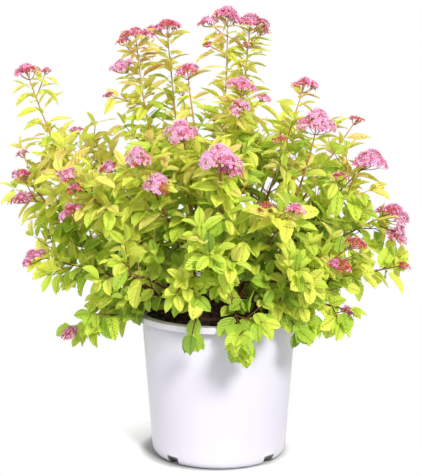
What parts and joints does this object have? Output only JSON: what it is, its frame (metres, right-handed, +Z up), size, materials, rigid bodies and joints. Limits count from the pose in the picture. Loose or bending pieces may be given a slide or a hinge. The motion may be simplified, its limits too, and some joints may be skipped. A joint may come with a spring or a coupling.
{
  "type": "potted spirea shrub",
  "caption": "Flowering shrub with golden-green leaves and flat pink flower heads on a clump of canes that fan out of one root crown, standing in a round white nursery pot of soil.",
  "frame": {"origin": "the middle of the pot's flat underside", "axes": "+Z up along the pot's axis, -Y to the front, +X to the right as seen from the front"},
  "size_m": [0.6532, 0.5727, 0.7315],
  "materials": {
    "pot": "smooth white plastic with a low sheen",
    "soil": "rough, dark and moist bark and peat",
    "bark": "thin orange-brown bark",
    "foliage": "soft matt leaves, golden at the tips, with pink blossom"
  },
  "bodies": {
    "root": {"pot": "pot", "soil": "soil", "root_crown": "bark", "cane_top_left": "bark", "foliage_top_left": "foliage", "cane_top_right": "bark", "foliage_top_right": "foliage", "cane_crest_left": "bark", "foliage_crest_left": "foliage", "cane_crest_right": "bark", "foliage_crest_right": "foliage", "cane_inner": "bark", "foliage_inner": "foliage", "cane_far_left": "bark", "foliage_far_left": "foliage", "cane_mid_top": "bark", "foliage_mid_top": "foliage", "cane_right_top": "bark", "foliage_right_top": "foliage", "cane_right_full": "bark", "foliage_right_full": "foliage", "cane_right_back": "bark", "foliage_right_back": "foliage", "cane_right_high": "bark", "foliage_right_high": "foliage", "cane_right_wide": "bark", "foliage_right_wide": "foliage", "foliage_right_low": "foliage", "cane_left_high": "bark", "foliage_left_high": "foliage", "foliage_left_mid": "foliage", "cane_left_back": "bark", "foliage_left_back": "foliage", "cane_front_high": "bark", "foliage_front_high": "foliage", "cane_front_left": "bark", "foliage_front_left": "foliage", "cane_front_mid": "bark", "foliage_front_mid": "foliage", "foliage_left_front": "foliage", "foliage_front_red": "foliage", "cane_back_mid": "bark", "foliage_back_mid": "foliage", "cane_back_right": "bark", "foliage_back_right": "foliage", "foliage_right_front": "foliage", "foliage_rim_right": "foliage", "foliage_rim_front": "foliage", "foliage_rim_left": "foliage", "foliage_left_low": "foliage", "foliage_rim_back_left": "foliage", "foliage_rim_back_right": "foliage", "foliage_low_back_left": "foliage", "foliage_low_back": "foliage", "foliage_low_back_right": "foliage", "foliage_low_front": "foliage", "foliage_low_front_near": "foliage", "foliage_low_front_far": "foliage", "foliage_low_front_left": "foliage", "foliage_low_front_right": "foliage"}
  },
  "joints": []
}
